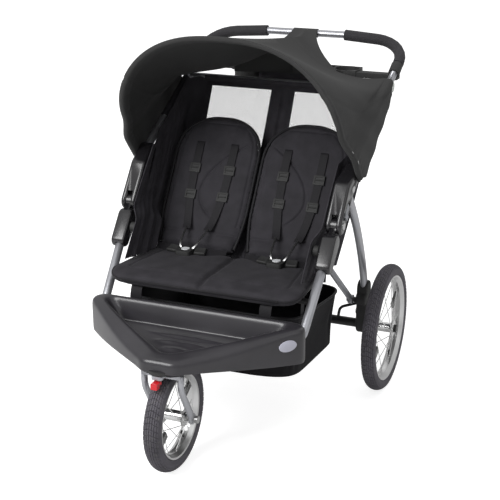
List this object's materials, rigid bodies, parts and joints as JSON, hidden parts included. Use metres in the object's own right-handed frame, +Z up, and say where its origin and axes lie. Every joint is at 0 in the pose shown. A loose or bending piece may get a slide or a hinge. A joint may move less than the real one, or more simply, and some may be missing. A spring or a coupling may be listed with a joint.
{
  "type": "side by side double stroller",
  "caption": "Folding side by side jogging stroller with a swivelling front wheel, reclining seats, a tilting canopy, a parent tray, a moulded footwell and an under-seat basket.",
  "frame": {"origin": "on the ground, midway across the width and midway along the length", "axes": "+Z up, -Y the way the stroller is pushed (front wheel leads), +X the children's left"},
  "size_m": [0.8406, 1.1828, 1.1144],
  "materials": {
    "silver_tube": "satin silver powder coat",
    "hinge_shell": "polished moulding",
    "footwell_plastic": "satin moulded, fine grain",
    "black_moulding": "satin moulded",
    "black_steel": "black powder coat",
    "seat_cloth": "plain woven polyester",
    "black_cloth": "plain woven polyester",
    "mesh_cloth": "open mesh",
    "canopy_cloth": "coated woven polyester",
    "webbing": "flat webbing",
    "buckle_plastic": "satin moulded",
    "button_plastic": "satin",
    "catch_plastic": "satin moulded",
    "foam": "fine-celled foam",
    "tyre": "matt rubber",
    "rim": "satin",
    "chrome": "bright",
    "axle_steel": "zinc plated",
    "red_plastic": "satin moulded"
  },
  "bodies": {
    "frame": {"frame_tube_left": "silver_tube", "frame_tube_right": "silver_tube", "head_bracket": "black_moulding", "footwell": "footwell_plastic", "hinge_sleeve_left": "hinge_shell", "hinge_sleeve_right": "hinge_shell", "seat_frame": "black_steel", "seat_cushion": "seat_cloth", "crotch_strap_left": "webbing", "crotch_strap_right": "webbing", "buckle_left": "buckle_plastic", "buckle_right": "buckle_plastic", "side_wing_left": "black_cloth", "side_wing_right": "black_cloth", "basket": "black_cloth"},
    "handle": {"handle_tube_left": "silver_tube", "handle_tube_right": "silver_tube", "handlebar": "silver_tube", "grip_left": "foam", "grip_right": "foam", "hinge_housing_left": "hinge_shell", "hinge_housing_right": "hinge_shell", "cross_bar": "silver_tube", "parent_tray": "black_moulding", "back_sling": "mesh_cloth"},
    "canopy": {"canopy_bow": "black_moulding", "canopy_cover": "canopy_cloth"},
    "rear_legs": {"rear_leg_left": "silver_tube", "rear_leg_right": "silver_tube", "axle_bracket_left": "black_moulding", "axle_bracket_right": "black_moulding", "rear_axle": "black_steel"},
    "stays": {"stay_left": "silver_tube", "stay_right": "silver_tube"},
    "rear_wheel_left": {"rear_tyre_left": "tyre", "rear_rim_left": "rim", "rear_hub_left": "chrome", "brake_disc_left": "black_moulding"},
    "rear_wheel_right": {"rear_tyre_right": "tyre", "rear_rim_right": "rim", "rear_hub_right": "chrome", "brake_disc_right": "black_moulding"},
    "fork": {"front_fork": "silver_tube", "front_axle": "axle_steel"},
    "front_wheel": {"front_tyre": "tyre", "front_rim": "rim", "front_hub": "chrome"},
    "swivel_pin": {"swivel_lock": "red_plastic"},
    "backrest_left": {"seat_back_left": "seat_cloth", "harness_left": "webbing"},
    "backrest_right": {"seat_back_right": "seat_cloth", "harness_right": "webbing"},
    "button_left": {"buckle_button_left": "button_plastic"},
    "button_right": {"buckle_button_right": "button_plastic"},
    "catch_left": {"fold_lever_left": "catch_plastic"},
    "catch_right": {"fold_lever_right": "catch_plastic"},
    "brake_left": {"brake_lever_left": "black_moulding"},
    "brake_right": {"brake_lever_right": "black_moulding"}
  },
  "joints": [
    {"name": "handle_fold", "type": "hinge", "parent": "frame", "child": "handle", "pos_m": [0, -0.0535, 0.609], "axis": [1, 0, 0], "range_deg": [0, 100], "deforming": ["back_sling"]},
    {"name": "rear_leg_fold", "type": "hinge", "parent": "handle", "child": "rear_legs", "pos_m": [0, 0.0265, 0.693], "axis": [1, 0, 0], "range_deg": [-38.5, 0]},
    {"name": "stay_fold", "type": "hinge", "parent": "frame", "child": "stays", "pos_m": [0, -0.10653, 0.54778], "axis": [1, 0, 0], "range_deg": [0, 53.1]},
    {"name": "canopy_tilt", "type": "hinge", "parent": "handle", "child": "canopy", "pos_m": [0, 0.0585, 0.717], "axis": [-1, 0, 0], "range_deg": [0, 55], "deforming": ["canopy_cover"]},
    {"name": "fork_swivel", "type": "hinge", "parent": "frame", "child": "fork", "pos_m": [0, -0.5035, 0.313], "axis": [0, 0, 1], "continuous": true},
    {"name": "front_wheel_spin", "type": "hinge", "parent": "fork", "child": "front_wheel", "pos_m": [0, -0.4385, 0.153], "axis": [1, 0, 0], "continuous": true},
    {"name": "swivel_pin_slide", "type": "slide", "parent": "fork", "child": "swivel_pin", "axis": [0, 0, 1], "range_m": [0, 0.005]},
    {"name": "rear_wheel_left_spin", "type": "hinge", "parent": "rear_legs", "child": "rear_wheel_left", "pos_m": [0.382, 0.2585, 0.196], "axis": [1, 0, 0], "continuous": true},
    {"name": "recline_left", "type": "hinge", "parent": "frame", "child": "backrest_left", "pos_m": [0.142, 0.0085, 0.436], "axis": [1, 0, 0], "range_deg": [-7, 10], "deforming": ["back_sling"]},
    {"name": "buckle_button_left_press", "type": "slide", "parent": "frame", "child": "button_left", "axis": [0, 0.0436, 0.999], "range_m": [-0.003, 0], "stiffness_N_per_m": 800},
    {"name": "fold_catch_left_slide", "type": "slide", "parent": "handle", "child": "catch_left", "axis": [0, 0.6897, 0.7241], "range_m": [0, 0.01], "stiffness_N_per_m": 400},
    {"name": "brake_left_press", "type": "hinge", "parent": "rear_legs", "child": "brake_left", "pos_m": [0.29, 0.2725, 0.232], "axis": [-1, 0, 0], "range_deg": [0, 25]},
    {"name": "rear_wheel_right_spin", "type": "hinge", "parent": "rear_legs", "child": "rear_wheel_right", "pos_m": [-0.382, 0.2585, 0.196], "axis": [1, 0, 0], "continuous": true},
    {"name": "recline_right", "type": "hinge", "parent": "frame", "child": "backrest_right", "pos_m": [-0.142, 0.0085, 0.436], "axis": [1, 0, 0], "range_deg": [-7, 10], "deforming": ["back_sling"]},
    {"name": "buckle_button_right_press", "type": "slide", "parent": "frame", "child": "button_right", "axis": [0, 0.0436, 0.999], "range_m": [-0.003, 0], "stiffness_N_per_m": 800},
    {"name": "fold_catch_right_slide", "type": "slide", "parent": "handle", "child": "catch_right", "axis": [0, 0.6897, 0.7241], "range_m": [0, 0.01], "stiffness_N_per_m": 400},
    {"name": "brake_right_press", "type": "hinge", "parent": "rear_legs", "child": "brake_right", "pos_m": [-0.29, 0.2725, 0.232], "axis": [-1, 0, 0], "range_deg": [0, 25]}
  ],
  "couplings": [
    {"joint": "rear_leg_fold", "follows": "handle_fold", "ratio": -0.3837},
    {"joint": "stay_fold", "follows": "handle_fold", "ratio": 0.53}
  ]
}
